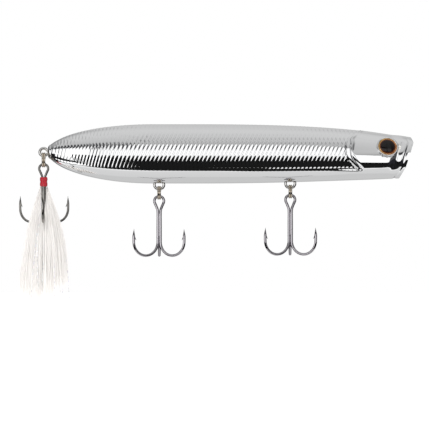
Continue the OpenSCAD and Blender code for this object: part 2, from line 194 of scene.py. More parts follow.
def smooth(piece, degrees=50):
    """Shades a piece smooth but for edges sharper than an angle, and returns it."""
    make_active(piece)
    bpy.ops.object.shade_smooth_by_angle(angle=math.radians(degrees))
    return piece


def dress(piece, material, body, node):
    """Gives a finished piece its material and body, and hides the node it stands for."""
    if material is not None:
        piece.data.materials.clear()
        piece.data.materials.append(material)
    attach(piece, body)
    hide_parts(node)


def wire_piece(name, points, radii, sides):
    """A round wire through points, as thick at each as radii says; one radius may serve them all."""
    if isinstance(radii, float):
        radii = [radii] * len(points)
    piece = added(bpy.ops.curve.primitive_nurbs_path_add)
    data = piece.data
    data.splines.clear()
    spline = data.splines.new("POLY")
    spline.points.add(len(points) - 1)
    for knot, point, radius in zip(spline.points, points, radii):
        knot.co = (*point, 1)
        knot.radius = radius / MM
    spline.use_smooth = True
    data.dimensions = "3D"
    data.twist_mode = "MINIMUM"
    data.bevel_depth = MM
    data.bevel_resolution = sides // 2 - 2
    data.use_fill_caps = True
    piece.location = (0, 0, 0)
    make_active(piece)
    bpy.ops.object.convert(target="MESH")
    return settle(bpy.context.view_layer.objects.active, name)


def rounded(points, steps):
    """A smooth path through points (Catmull-Rom)."""
    out = []
    last = len(points) - 1
    for i in range(last):
        p0, p1 = points[max(i - 1, 0)], points[i]
        p2, p3 = points[i + 1], points[min(i + 2, last)]
        for k in range(steps):
            t = k / steps
            out.append(0.5 * (2 * p1 + (p2 - p0) * t + (2 * p0 - 5 * p1 + 4 * p2 - p3) * t * t
                              + (3 * p1 - p0 - 3 * p2 + p3) * t * t * t))
    out.append(points[last])
    return out


# ---------------------------------------------------------------- shader tools

class Nodes:
    """Short ways to place, set and link a tree's nodes. Pattern scales are per metre."""

    def __init__(self, tree):
        self.tree = tree

    def add(self, kind, **values):
        node = self.tree.nodes.new(kind)
        for key, value in values.items():
            setattr(node, key, value)
        return node

    def feed(self, node, values):
        """Links each of a node's inputs to a socket, or sets a value on the input itself."""
        for key, value in values.items():
            socket = node.inputs[key]
            if isinstance(value, bpy.types.NodeSocket):
                self.tree.links.new(value, socket)
            elif socket.type == "RGBA":
                socket.default_value = (*value, 1)
            else:
                socket.default_value = value

    def math(self, operation, a, b=0.0, c=0.0, clamp=False):
        node = self.add("ShaderNodeMath", operation=operation, use_clamp=clamp)
        self.feed(node, {0: a, 1: b, 2: c})
        return node.outputs[0]

    def mix(self, factor, a, b, blend="MIX"):
        node = self.add("ShaderNodeMix", data_type="RGBA", blend_type=blend)
        self.feed(node, {0: factor, 6: a, 7: b})
        return node.outputs[2]

    def ramp(self, factor, stops, interpolation="LINEAR"):
        node = self.add("ShaderNodeValToRGB")
        ramp = node.color_ramp
        ramp.interpolation = interpolation
        while len(ramp.elements) < len(stops):
            ramp.elements.new(0.5)
        for element, (place, value) in zip(ramp.elements, stops):
            element.position = place
            tone = value if isinstance(value, tuple) else (value,) * 3
            element.color = (*tone, 1)
        self.feed(node, {"Fac": factor})
        return node.outputs["Color"]

    def place(self, stretch=None, scale=None):
        """Object coordinates, stretched by three factors and then scaled by a socket, if given."""
        vector = self.add("ShaderNodeTexCoord").outputs["Object"]
        if stretch:
            mapping = self.add("ShaderNodeMapping")
            self.feed(mapping, {"Vector": vector, "Scale": stretch})
            vector = mapping.outputs["Vector"]
        if scale:
            scaled = self.add("ShaderNodeVectorMath", operation="SCALE")
            self.feed(scaled, {0: vector, "Scale": scale})
            vector = scaled.outputs["Vector"]
        return vector

    def noise(self, scale, detail, vector=None):
        node = self.add("ShaderNodeTexNoise")
        self.feed(node, {"Vector": vector or self.place(), "Scale": scale, "Detail": detail})
        return node.outputs["Fac"]

    def effect(self, name, values):
        """Places a shared effect with its own values."""
        node = self.add("ShaderNodeGroup", node_tree=bpy.data.node_groups[name])
        self.feed(node, values)
        return node.outputs

    def bump(self, shader, height, distance):
        node = self.add("ShaderNodeBump")
        self.feed(node, {"Distance": distance, "Height": height})
        self.feed(shader, {"Normal": node.outputs["Normal"]})


def new_effect(name, inputs):
    """A shared node group with named inputs, which puts out a Colour, a Roughness and a Height."""
    group = bpy.data.node_groups.new(name, "ShaderNodeTree")
    for label, kind, default in inputs:
        socket = group.interface.new_socket(label, in_out="INPUT", socket_type=kind)
        socket.default_value = default
    for label, kind in (("Colour", "NodeSocketColor"), ("Roughness", "NodeSocketFloat"),
                        ("Height", "NodeSocketFloat")):
        group.interface.new_socket(label, in_out="OUTPUT", socket_type=kind)
    n = Nodes(group)
    return n, n.add("NodeGroupInput").outputs, n.add("NodeGroupOutput")


def metal_wear_effect():
    """Drawn metal: fine lengthwise scratches, cloudy polish and specks of dirt."""
    n, given, out = new_effect("metal_wear", [
        ("Tone", "NodeSocketColor", (0.7, 0.7, 0.7, 1)),
        ("Gloss", "NodeSocketFloat", 0.15),
        ("Scratch Scale", "NodeSocketFloat", 1.0)])
    scratch = n.noise(1.0, 4, n.place((1500, 1500, 260), given["Scratch Scale"]))
    cloud = n.noise(420, 2)
    dirt = n.ramp(n.noise(1700, 3), [(0.0, 0.0), (0.66, 0.0), (0.76, 1.0)])
    dull = n.mix(n.math("MULTIPLY", dirt, 0.35), given["Tone"], (0.05, 0.045, 0.04))
    tone = n.mix(n.math("MULTIPLY", cloud, 0.28), dull, (0.5, 0.48, 0.47), "MULTIPLY")
    spread = n.math("MULTIPLY_ADD", scratch, 0.16, -0.06)
    rough = n.math("ADD", n.math("ADD", given["Gloss"], spread),
                   n.math("MULTIPLY", dirt, 0.25), clamp=True)
    n.feed(out, {"Colour": tone, "Roughness": rough, "Height": scratch})


def fibre_effect():
    """Fibres that run down: streaks of tone along their length."""
    n, given, out = new_effect("fibre_streaks", [
        ("Light Tone", "NodeSocketColor", (0.9, 0.9, 0.9, 1)),
        ("Dark Tone", "NodeSocketColor", (0.6, 0.6, 0.6, 1)),
        ("Streak Scale", "NodeSocketFloat", 1.0)])
    streak = n.noise(1.0, 3, n.place((2600, 2600, 150), given["Streak Scale"]))
    tone = n.mix(n.ramp(streak, [(0.3, 0.0), (0.62, 1.0)]), given["Dark Tone"], given["Light Tone"])
    rough = n.math("MULTIPLY_ADD", streak, 0.3, 0.45)
    n.feed(out, {"Colour": tone, "Roughness": rough, "Height": streak})


def new_material(name):
    material = bpy.data.materials.new(name)
    material.use_nodes = True
    return material, Nodes(material.node_tree), material.node_tree.nodes["Principled BSDF"]


def metal_material(name, tone, gloss, scratch_scale=1.0):
    material, n, shader = new_material(name)
    wear = n.effect("metal_wear", {"Tone": tone, "Gloss": gloss, "Scratch Scale": scratch_scale})
    n.feed(shader, {"Base Color": wear["Colour"], "Roughness": wear["Roughness"], "Metallic": 1.0})
    n.bump(shader, wear["Height"], 0.004 * MM)
    return material


def plating_material(tone):
    """Bright vacuum plating: a mirror with faint flow haze and tiny specks."""
    material, n, shader = new_material("bright_plating")
    haze = n.noise(160, 3)
    speck = n.ramp(n.noise(2600, 2), [(0.70, 0.0), (0.76, 1.0)])
    rough = n.math("ADD", n.math("MULTIPLY_ADD", haze, 0.05, 0.015), n.math("MULTIPLY", speck, 0.2))
    n.feed(shader, {"Base Color": n.mix(n.math("MULTIPLY", speck, 0.25), tone, (0.55, 0.55, 0.56)),
                    "Roughness": rough, "Metallic": 1.0})
    n.bump(shader, n.noise(300, 2), 0.01 * MM)
    return material


def plastic_material():
    """Bare moulded plastic inside the shells."""
    material, n, shader = new_material("bare_plastic")
    cloud = n.noise(300, 3)
    n.feed(shader, {"Base Color": n.mix(cloud, (0.62, 0.61, 0.58), (0.72, 0.71, 0.68)),
                    "Roughness": n.math("MULTIPLY_ADD", cloud, 0.2, 0.3)})
    n.bump(shader, n.noise(2200, 2), 0.01 * MM)
    return material


def eye_material(name, finishes, centre, turn, radius, nose):
    """Black pupil that browns at its edge, inside a brushed gold ring, under clear resin."""
    material, n, shader = new_material(name)
    mapping = n.add("ShaderNodeMapping", vector_type="TEXTURE")
    n.feed(mapping, {"Vector": n.place(), "Location": centre, "Rotation": turn,
                     "Scale": (*EYE_OVAL, 1)})
    split = n.add("ShaderNodeSeparateXYZ")
    away = n.add("ShaderNodeCombineXYZ")
    reach = n.add("ShaderNodeVectorMath", operation="LENGTH")
    n.feed(split, {0: mapping.outputs["Vector"]})
    n.feed(away, {"X": split.outputs["X"], "Y": split.outputs["Y"]})
    n.feed(reach, {0: away.outputs[0]})
    share = n.math("DIVIDE", reach.outputs["Value"], radius)
    toward_nose = n.math("MULTIPLY_ADD", split.outputs["X"], nose * 0.5 / radius, 0.5, clamp=True)
    iris = n.mix(toward_nose, finishes.iris, finishes.iris_front)
    brushed = n.noise(1.0, 2, n.place((3000, 300, 3000)))
    gold = n.mix(n.math("MULTIPLY", brushed, 0.6), iris, (0.98, 0.72, 0.36))
    pupil = n.ramp(share, [(0.0, (0.003, 0.003, 0.003)), (0.70, (0.006, 0.004, 0.004)),
                           (0.82, (0.10, 0.024, 0.008))])
    ring = n.ramp(share, [(0.84, 0.0), (0.87, 1.0), (0.965, 1.0), (0.985, 0.0)])
    n.feed(shader, {"Base Color": n.mix(ring, pupil, gold), "Metallic": ring,
                    "Roughness": n.math("MULTIPLY_ADD", ring, 0.22, 0.06),
                    "Specular IOR Level": 0.15, "Coat Weight": 0.35, "Coat Roughness": 0.02})
    return material


def feather_material(tone):
    """Undyed feather: faint streaks and a soft sheen, and half the light passes through."""
    material, n, shader = new_material("white_feather")
    fibres = n.effect("fibre_streaks", {"Light Tone": tone, "Dark Tone": [c * 0.95 for c in tone],
                                        "Streak Scale": 1.0})
    n.feed(shader, {"Base Color": fibres["Colour"], "Roughness": fibres["Roughness"],
                    "Sheen Weight": 0.2})
    n.bump(shader, fibres["Height"], 0.03 * MM)
    thin = n.add("ShaderNodeBsdfTranslucent")
    blend = n.add("ShaderNodeMixShader")
    n.feed(thin, {"Color": tone})
    n.feed(blend, {0: 0.5, 1: shader.outputs[0], 2: thin.outputs[0]})
    n.feed(material.node_tree.nodes["Material Output"], {"Surface": blend.outputs[0]})
    return material


def thread_material(tone):
    """Twisted red thread under clear varnish, with painted shade darkening the grooves of the twist.
    """
    material, n, shader = new_material("varnished_thread")
    twist = n.add("ShaderNodeTexWave", wave_type="BANDS", bands_direction="DIAGONAL")
    n.feed(twist, {"Vector": n.place(), "Scale": 2300, "Distortion": 1.5})
    ridge_and_groove_shade = twist.outputs["Fac"]
    # painted shade: the colour drops to a third of the red in the low grooves of the twist, where the
    # bump sinks
    n.feed(shader, {"Base Color": n.mix(ridge_and_groove_shade, [c * 0.35 for c in tone], tone),
                    "Roughness": n.math("MULTIPLY_ADD", ridge_and_groove_shade, -0.15, 0.5),
                    "Coat Weight": 0.8, "Coat Roughness": 0.12})
    n.bump(shader, ridge_and_groove_shade, 0.03 * MM)
    return material


def flash_material(tone):
    """Pearl film: colour runs from rose to green along each strand, in small facets."""
    material, n, shader = new_material("pearl_flash")
    cells = n.add("ShaderNodeTexVoronoi")
    split = n.add("ShaderNodeSeparateColor")
    n.feed(cells, {"Vector": n.place((900, 900, 900)), "Scale": 1.6})
    n.feed(split, {0: cells.outputs["Color"]})
    hue, spot, dull = split.outputs
    tint = n.ramp(hue, [(0.0, (0.95, 0.78, 0.80)), (0.35, (0.98, 0.97, 0.93)),
                        (0.7, (0.78, 0.90, 0.86)), (1.0, (0.72, 0.70, 0.92))])
    dots = n.ramp(spot, [(0.70, 0.0), (0.74, 1.0)], "CONSTANT")
    film = n.mix(n.math("MULTIPLY", dots, 0.35), n.mix(0.35, tint, tone), (0.20, 0.17, 0.19))
    n.feed(shader, {"Base Color": film, "Roughness": n.math("MULTIPLY_ADD", dull, 0.3, 0.12),
                    "Metallic": n.math("MULTIPLY", hue, 0.2)})
    return material


# ---------------------------------------------------------------- the body's shape

class Body:
    """The body's surface as formulas in the frame, from the sizes and the CAD shells."""

    POWER = 2.25                # fullness of the cross-section
    MID_RISE = 1.42 * MM        # the middle line above the line tie
    TAIL_RISE = 2.0 * MM        # the tail's middle above the line tie
    NOSE_TAPER = 0.6            # share of the length that narrows toward the nose
    NOSE_CURVE = 2.3            # how late that narrowing comes
    LIP_Z = 5 * MM              # foremost point of the upper lip
    CHIN_BREAK_Z = -3.2 * MM    # the lip's edge slopes back more steeply below this
    MOUTH_RAKE = math.radians(17.6)
    CHIN_RAKE = math.radians(30)
    BROW_RAKE = math.radians(23)
    CUP_Z = -0.25 * MM          # the cup's middle
    GILL_X = -18.65 * MM        # the gill's rearmost point
    GILL_Z = 3.1 * MM           # and its height
    CREASE_Z = 1.6 * MM         # the cheek's crease
    RIDGE_FRONT = 0.27          # a scale's steep side, as a share of the pitch

    # how far the head's features stand out or sink in
    RIM_RISE = 0.10 * MM
    RIM_GROOVE = 0.19 * MM
    GILL_GROOVE = 0.14 * MM
    JOWL_SWELL = 0.5 * MM
    NECK_DEPTH = 0.42 * MM
    LIP_LINE_DEPTH = 0.2 * MM
    EYE_PIT_DEPTH = 1.1 * MM

    def __init__(self, sizes):
        self.sizes = sizes
        self.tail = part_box("shell_left")[LOW][0]
        self.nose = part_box("shell_left")[HIGH][0]
        self.shoulder = self.nose - self.NOSE_TAPER * (self.nose - self.tail)

    def tail_share(self, x):
        """0 at the tail, and 1 from where the body has its full section."""
        return np.clip((x - self.tail) / self.sizes.tail_taper, 0, 1)

    def nose_share(self, x):
        """0 up to the shoulder, and 1 at the nose."""
        return np.clip((x - self.shoulder) / (self.nose - self.shoulder), 0, 1)

    def swell(self, x):
        """Share of the full section: a long round taper that ends in a blunt nub."""
        nub = self.sizes.tail_nub / self.sizes.height
        arc = np.sqrt(1 - (1 - self.tail_share(x)) ** 2)
        edge = np.clip((x - self.tail) / (1.4 * MM), 0, 1)
        blunt = nub * (0.45 + 0.55 * np.sqrt(1 - (1 - edge) ** 2))
        return (np.maximum(blunt, arc) ** 8 + (0.92 * blunt) ** 8) ** 0.125

    def axis(self, x):
        """Height of the section's middle."""
        return (self.MID_RISE + (self.TAIL_RISE - self.MID_RISE) * (1 - self.tail_share(x)) ** 2
                - self.MID_RISE * self.nose_share(x) ** 4)

    def half_section(self, x, full, nose):
        """Half the height or width along the body, from its full value and its value at the nose."""
        narrowing = self.nose_share(x) ** self.NOSE_CURVE
        return full * np.minimum(self.swell(x), 1) - (full - nose) * narrowing

    def half_h(self, x):
        return self.half_section(x, self.sizes.height / 2, self.sizes.nose_height / 2)

    def half_w(self, x):
        return self.half_section(x, self.sizes.half_width, self.sizes.nose_width / 2)

    def lip_x(self, z):
        """The lip's edge, seen from the side."""
        chin = self.nose - (self.LIP_Z - self.CHIN_BREAK_Z) * math.tan(self.MOUTH_RAKE)
        return np.where(
            z > self.LIP_Z, self.nose - (z - self.LIP_Z) * math.tan(self.BROW_RAKE),
            np.where(z > self.CHIN_BREAK_Z,
                     self.nose - (self.LIP_Z - z) * math.tan(self.MOUTH_RAKE),
                     chin - (self.CHIN_BREAK_Z - z) * math.tan(self.CHIN_RAKE)))

    def gill_x(self, z):
        """The gill's outer edge: an arc above the cheek, running on as a straight slope below."""
        rise = (z - self.GILL_Z) / MM
        arc = 0.068 * np.maximum(rise, 0) ** 2.35
        bend, softness = 3.1, 1.2       # the slope starts this far below, and eases in
        fall = np.maximum(-rise, 0) - bend
        slope = (fall + np.hypot(fall, softness)) / 2
        return self.GILL_X + (arc + slope) * MM

    def rim_width(self, z):
        """Width of the gill's rim: broad in the middle and narrow at both ends."""
        below_top = ease((6.9 * MM - z) / (2.4 * MM))
        above_foot = ease((z + 5.6 * MM) / (3.4 * MM))
        return (0.5 + 1.25 * below_top * above_foot) * MM

    def chine(self, x):
        """Height of the lower crease, as a share of the half height from the axis."""
        at_tail = ease((-103 * MM - x) / (14 * MM))
        forward = ease((x + 94 * MM) / (79 * MM))
        at_nose = ease((x + 16 * MM) / (20 * MM))
        return -(0.52 + 0.10 * at_tail + 0.08 * forward - 0.13 * at_nose)

    def scales(self, x, z, share):
        """Overlapping ridges that lean forward, crossed by a second set on the back."""
        lean = np.interp(x, np.array([-117, -100, -85]) * MM, [0.2, 0.3, 0.45])

        def count(along):
            """Ridges counted along the body; they stand closer at the tail."""
            return (along + 0.22 * np.minimum(along + 98 * MM, 0)) / self.sizes.scale_pitch

        def ridge_and_groove_shade(turns):
            """A ridge's profile for each whole turn: up its steep side and down its long one."""
            phase = turns - np.floor(turns)
            fall = (1 - phase) / (1 - self.RIDGE_FRONT)
            return np.where(phase < self.RIDGE_FRONT, ease(phase / self.RIDGE_FRONT), fall) - 0.5

        fore = ridge_and_groove_shade(count(x - lean * z))
        back = ridge_and_groove_shade(-count(x + lean * z))
        cross = np.clip((share - 0.22) / 0.15, 0, 1)
        fade = np.clip((1.1 - share) / 0.4, 0.45, 1)
        return self.sizes.scale_height * fade * (fore * (1 - 0.4 * cross) + 0.6 * cross * back)

    def cheek(self, rise):
        """Swell of the cheek in mm; rise is the height over its crease in mm."""
        above = -0.40 * (1 - np.exp(-np.maximum(rise, 0) / 1.4)) * np.clip((9 - rise) / 4, 0, 1)
        fall = np.maximum(-rise, 0)
        below = 0.15 * (np.minimum(fall, 4.2) - np.clip(fall - 3.0, 0, 1.2) ** 2 / 2.4)
        return above + below

    def eye_pit(self, x, z):
        centre, out, radius = eye_frame(1)
        across = np.hypot(x - centre.x, (z - centre.z - 0.7 * MM * out.z) / out.y)
        return -self.EYE_PIT_DEPTH * ease((radius + 0.2 * MM - across) / (0.3 * MM))

    def relief(self, x, z, share, behind_lip):
        """How far the surface stands off the plain form."""
        step = self.sizes.plate_step
        chine = self.chine(x)
        ahead = x - self.gill_x(z)
        rim_width = self.rim_width(z)
        belly = ease((chine - share) * self.half_h(x) / (0.42 * MM) + 0.5)
        head = ease(ahead / (0.4 * MM) + 0.5)
        scaled = (1 - belly) * (1 - head)
        tail_fade = ease((x - self.tail - 0.6 * MM) / (3 * MM))
        on_cheek = ease((ahead - rim_width + 0.3 * MM) / (1.6 * MM)) * (1 - belly)
        front_fade = ease((behind_lip - 2.6 * MM) / (4 * MM))
        plates = -step * scaled * tail_fade - 0.05 * step * belly
        rim = self.RIM_RISE * head * (1 - belly) * ease((rim_width - ahead) / (0.5 * MM) + 0.5)
        grooves = -(self.RIM_GROOVE * line(ahead - rim_width, 0.26 * MM)
                    + self.GILL_GROOVE * line(ahead, 0.2 * MM)) * (1 - belly)
        cheek = self.cheek((z - self.CREASE_Z) / MM) * MM * on_cheek * front_fade
        jowl = (self.JOWL_SWELL * belly * ease((x + 25 * MM) / (12 * MM)) * front_fade
                * np.clip((share + 1) / (1 + chine), 0, 1))
        # the neck behind the flared lip, on the sides only, and the fine line along the lip
        side = ease((0.78 - share) / 0.3) * ease((share + 0.66) / 0.25)
        neck = -self.NECK_DEPTH * side * line(behind_lip - 4.1 * MM, 1.25 * MM)
        lip_line = (-self.LIP_LINE_DEPTH * line(behind_lip - 1.5 * MM, 0.4 * MM)
                    * ease((0.95 - share) / 0.3))
        return (plates + scaled * tail_fade * self.scales(x, z, share)
                + rim + grooves + cheek + jowl + neck + lip_line + self.eye_pit(x, z))

    def stations(self, count):
        """Columns along X: even along the body, crowded where the tail rounds."""
        crowded, held = 0.12, 0.055     # this share of the columns holds this share of the length
        u = np.linspace(0, 1, count)
        bend = 1 - np.cos(np.clip(u / crowded, 0, 1) * math.pi / 2)
        even = np.interp(u, [crowded, 1], [held, 1])
        return self.tail + (self.nose - self.tail) * np.where(u < crowded, held * bend, even)


def power(value, exponent):
    return np.sign(value) * np.abs(value) ** exponent


def ease(t):
    """0 below 0, 1 above 1, and smooth between."""
    t = np.clip(t, 0, 1)
    return t * t * (3 - 2 * t)


def line(distance, width):
    """A soft line: 1 along its middle, and 0 a few widths away."""
    return np.exp(-(distance / width) ** 2)


LIP_STEPS, CUP_STEPS = 6, 18
CUP_EDGE = 0.55 * MM            # depth at which the rounded lip turns into the cup's wall
CUP_EDGE_SHARE = 0.995          # size of the mouth there
CORE_INSET = 0.5 * MM           # the moulded inside lies this far under the skin


def outside_points(body, up, across):
    """The outside from the tail to the lip; up and across are shares of the half height and width."""
    x = body.stations(body.sizes.columns + 1)[None, :] + 0 * up
    half_h, half_w = body.half_h(x), body.half_w(x)
    z = body.axis(x) + half_h * up
    start = body.gill_x(z) + 1 * MM
    lean = np.clip((x - start) / (body.nose - start), 0, 1)
    x = x + lean ** 1.5 * (body.lip_x(z) - body.nose)
    behind_lip = np.maximum(body.lip_x(z) - x, 0)
    lift = body.relief(x, z, up + 0 * x, behind_lip)
    normal_y = across ** (body.POWER - 1) / half_w
    normal_z = power(up, body.POWER - 1) / half_h
    size = np.hypot(normal_y, normal_z)
    y = np.where(across > 1e-6, half_w * across + lift * normal_y / size, 0)
    return np.stack([x, y, z + lift * normal_z / size], -1)


def mouth_rings(body, edge, up, across):
    """Rings from the outside's edge over the rounded lip and down into the cup."""
    sizes, rake = body.sizes, body.MOUTH_RAKE
    middle_x = float(body.lip_x(np.array(body.CUP_Z)))

    def cup_ring(depth, share):
        """A ring square to the mouth's rake, at a depth and drawn in to a share of its size."""
        height = sizes.cup_height / 2 * up * share
        return np.stack([middle_x - depth * math.cos(rake) + height * math.sin(rake),
                         sizes.cup_width / 2 * across * share,
                         body.CUP_Z + depth * math.sin(rake) + height * math.cos(rake)], -1)

    inner = cup_ring(CUP_EDGE, CUP_EDGE_SHARE)
    inner[..., 0] = np.minimum(body.lip_x(inner[..., 2]) - 0.45 * MM, inner[..., 0])
    rings = []
    for k in range(1, LIP_STEPS + 1):
        t = k / LIP_STEPS
        bulge = 0.32 * MM * math.sin(t * math.pi)
        ring = edge * (1 - t) + inner * t
        ring[..., 0] = np.minimum(ring[..., 0] + bulge, body.lip_x(ring[..., 2]))
        rings.append(ring)
    for k in range(1, CUP_STEPS + 1):
        turn = k / CUP_STEPS * math.pi / 2
        down = math.sin(turn) ** 0.8
        share = math.cos(turn) ** 0.5 if k < CUP_STEPS else 0.0
        ring = cup_ring(CUP_EDGE + (sizes.cup_depth * down - CUP_EDGE) * down,
                        CUP_EDGE_SHARE * share)
        ring[..., 0] = np.minimum(ring[..., 0], inner[..., 0])
        rings.append(ring)
    return rings


def body_skin(body):
    """The left half of the plated skin: tail cap, outside, lip and cup in one sheet."""
    angle = np.linspace(0, math.pi, body.sizes.rows + 1)[:, None]
    up = power(np.cos(angle), 2 / body.POWER)
    across = np.sin(angle) ** (2 / body.POWER)
    outside = outside_points(body, up, across)
    nub = outside[:, :1, :]
    nub_middle = np.array([body.tail, 0, body.TAIL_RISE])
    tail_cap = [nub_middle + (nub - nub_middle) * share for share in (0.0, 0.45, 0.85)]
    mouth = mouth_rings(body, outside[:, -1:, :], up, across)
    sheet = np.concatenate(tail_cap + [outside] + mouth, axis=1)
    sheet[[0, -1], :, 1] = 0
    down, along = sheet.shape[:2]
    piece = added(bpy.ops.mesh.primitive_grid_add, x_subdivisions=along - 1,
                  y_subdivisions=down - 1)
    if len(piece.data.vertices) != down * along:
        raise RuntimeError(f"the grid has {len(piece.data.vertices)} vertices, not {down * along}")
    piece.data.vertices.foreach_set("co", sheet.reshape(-1))
    piece.data.update()
    piece.matrix_world.identity()
    return piece


def face_outwards(piece, point, direction):
    """Turns all the faces over if the face nearest a point looks away from a direction."""
    nearest = min(piece.data.polygons, key=lambda f: (f.center - point).length_squared)
    if nearest.normal.dot(direction) < 0:
        with edit_mode(piece):
            bpy.ops.mesh.flip_normals()


def merge_doubles(piece):
    with edit_mode(piece):
        bpy.ops.mesh.remove_doubles(threshold=0.002 * MM)


def shell_core(node, body):
    """The moulded inside of a shell: the CAD shell with its outside drawn in under the skin."""
    core = twin(NODES[node])
    core.parent = None
    core.matrix_world.identity()
    core.hide_render = False
    core.hide_set(False)
    merge_doubles(core)
    for vertex in core.data.vertices:
        x, y, z = vertex.co
        if float(body.lip_x(z)) - x < 0.4 * MM:     # the lip's own edge
            x -= 2 * CORE_INSET
        x = max(x, body.tail + 2 * CORE_INSET)
        half_w, half_h = float(body.half_w(x)), float(body.half_h(x))
        axis = float(body.axis(x))
        reach = ((abs(y) / half_w) ** body.POWER
                 + (abs(z - axis) / half_h) ** body.POWER) ** (1 / body.POWER)
        share = min(1, (1 - CORE_INSET / half_h) / max(reach, 0.01))
        vertex.co = (x, y * share, axis + (z - axis) * share)
    return core


class POPPER_OT_shells(bpy.types.Operator):
    """Model the two plated shells with their scales, head, lip, cup and moulded inside"""
    bl_idname = "popper.shells"
    bl_label = "Plated shells"

    def execute(self, context):
        plating = bpy.data.materials["bright_plating"]
        body = Body(context.scene.popper_body)
        flank = Vector((-60 * MM, body.sizes.half_width, 0))
        left = body_skin(body)
        left.name = "skin_left"
        left.data.materials.append(plating)
        merge_doubles(left)
        face_outwards(left, flank, Vector((0, 1, 0)))
        right = twin(left)
        with edit_mode(right):
            bpy.ops.transform.resize(value=(1, -1, 1), center_override=(0, 0, 0))
        face_outwards(right, flank * Vector((1, -1, 1)), Vector((0, -1, 0)))
        for skin, side, name in ((left, 1, "left"), (right, -1, "right")):
            smooth(skin, 80)
            bead = eye_socket(side)
            bead.data.materials.append(plating)
            core = shell_core(f"shell_{name}", body)
            core.data.materials.clear()
            core.data.materials.append(bpy.data.materials["bare_plastic"])
            shell = join([skin, bead, core], f"plated_shell_{name}")
            dress(shell, None, "lure_body", f"shell_{name}")
        return {"FINISHED"}


# ---------------------------------------------------------------- eyes

EYE_OVAL = (1.03, 0.93)         # long and short axis, as shares of the foil's radius
EYE_DROOP = math.radians(22)    # the oval's long axis runs down toward the nose
EYE_TILT = math.radians(17)     # the eyes look slightly up
ON_AXIS = 0.00002 * MM          # radius of a closed middle


def eye_frame(side):
    """Centre of an eye's foil, the direction it faces and its radius."""
    node = "left_eye_foil" if side > 0 else "right_eye_foil"
    out = Vector((0, side * math.cos(EYE_TILT), math.sin(EYE_TILT)))
    return middle(node), out, node_span(node, 0) / 2


def eye_turn(side):
    out = eye_frame(side)[1]
    return (out.to_track_quat("Z", "Y") @ Quaternion((0, 0, 1), side * EYE_DROOP)).to_euler()


def lathe(name, profile, side, sides):
    """An eye's oval form, spun from (radius, height) points and turned to face out."""
    first_radius, first_height = profile[0]
    piece = added(bpy.ops.mesh.primitive_circle_add, vertices=sides, radius=first_radius)
    with edit_mode(piece):
        mesh = bmesh.from_edit_mesh(piece.data)
        for vertex in mesh.verts:
            vertex.co.z = first_height
        edges = list(mesh.edges)
        for radius, height in profile[1:]:
            grown = bmesh.ops.extrude_edge_only(mesh, edges=edges)["geom"]
            edges = [part for part in grown if isinstance(part, bmesh.types.BMEdge)]
            for vertex in (part for part in grown if isinstance(part, bmesh.types.BMVert)):
                vertex.co = (*vertex.co.xy.normalized() * radius, height)
        bmesh.update_edit_mesh(piece.data)
        bpy.ops.mesh.select_all(action="SELECT")
        bpy.ops.mesh.remove_doubles(threshold=0.001 * MM)
        bpy.ops.mesh.normals_make_consistent(inside=False)
    piece.scale = (*EYE_OVAL, 1)
    bpy.ops.object.transform_apply(location=False, rotation=False, scale=True)
    piece.rotation_euler = eye_turn(side)
    piece.location = eye_frame(side)[0]
    return smooth(settle(piece, name))


def eye_socket(side):
    """A plated bead round the eye's recess."""
    radius = eye_frame(side)[2]
    bead = 0.34 * MM
    profile = [(radius + 0.16 * MM + bead * math.cos(a), 0.55 * MM + bead * math.sin(a))
               for a in np.linspace(0, 2 * math.pi, 13)]
    return lathe(f"socket_{side}", profile, side, 64)


def foil_profile(radius):
    """A thin disc with an eased front edge."""
    half = 0.12 * MM
    return [(ON_AXIS, half), (radius * 0.98, half), (radius, 0.05 * MM), (radius, -half),
            (ON_AXIS, -half)]


def dome_profile(radius):
    """A flat back, a low rim and a round crown."""
    back, rim, crown = 0.17 * MM, 0.12 * MM, 1.22 * MM
    edge = radius * 0.985
    return [(ON_AXIS, back), (edge, back), (radius * 0.99, back + rim)] + [
        (edge * math.cos(a), back + rim + crown * math.sin(a) ** 1.15)
        for a in np.linspace(0.06, math.pi / 2, 16)]


class POPPER_OT_eyes(bpy.types.Operator):
    """Model the foil discs and the domed eyes"""
    bl_idname = "popper.eyes"
    bl_label = "Eyes"

    def execute(self, context):
        finishes = context.scene.popper_finishes
        gold = metal_material("eye_gold", finishes.iris, 0.22)
        for side, name in ((1, "left"), (-1, "right")):
            centre, _, radius = eye_frame(side)
            foil = lathe(f"eye_foil_{name}", foil_profile(radius), side, 48)
            dress(foil, gold, "lure_body", f"{name}_eye_foil")
            dome = lathe(f"eye_dome_{name}", dome_profile(radius), side, 64)
            paint = eye_material(f"painted_eye_{name}", finishes, centre, eye_turn(side), radius,
                                 -side)
            dress(dome, paint, "lure_body", f"{name}_eye_dome")
        return {"FINISHED"}


# ---------------------------------------------------------------- wire forms

TAIL_EYE = 3.5 * MM             # outside width of the tail hanger's outer eye
FORWARD, UP = Vector((1, 0, 0)), Vector((0, 0, 1))


def wire_form_path(near, far, wire, span):
    """A wire form in its own plane: two eyes of radius near and far, span apart, and two strands."""
    strand = wire / 2 + 0.03 * MM
    bend = 0.6 * MM

    def end(radius):
        u = math.sqrt((radius + bend) ** 2 - (strand + bend) ** 2)
        angle = math.atan2(strand + bend, u)
        eye = [Vector((radius * math.cos(a), radius * math.sin(a)))
               for a in np.linspace(math.pi, angle + 0.08, 22)]
        turn = [Vector((u, strand + bend)) + bend * Vector((math.cos(a), math.sin(a)))
                for a in np.linspace(math.pi + angle, 1.5 * math.pi, 7)]
        return eye + turn

    side = end(near) + [Vector((span - p.x, p.y)) for p in reversed(end(far))][:-1]
    return list(reversed(side)) + [Vector((p.x, -p.y)) for p in side[1:]]


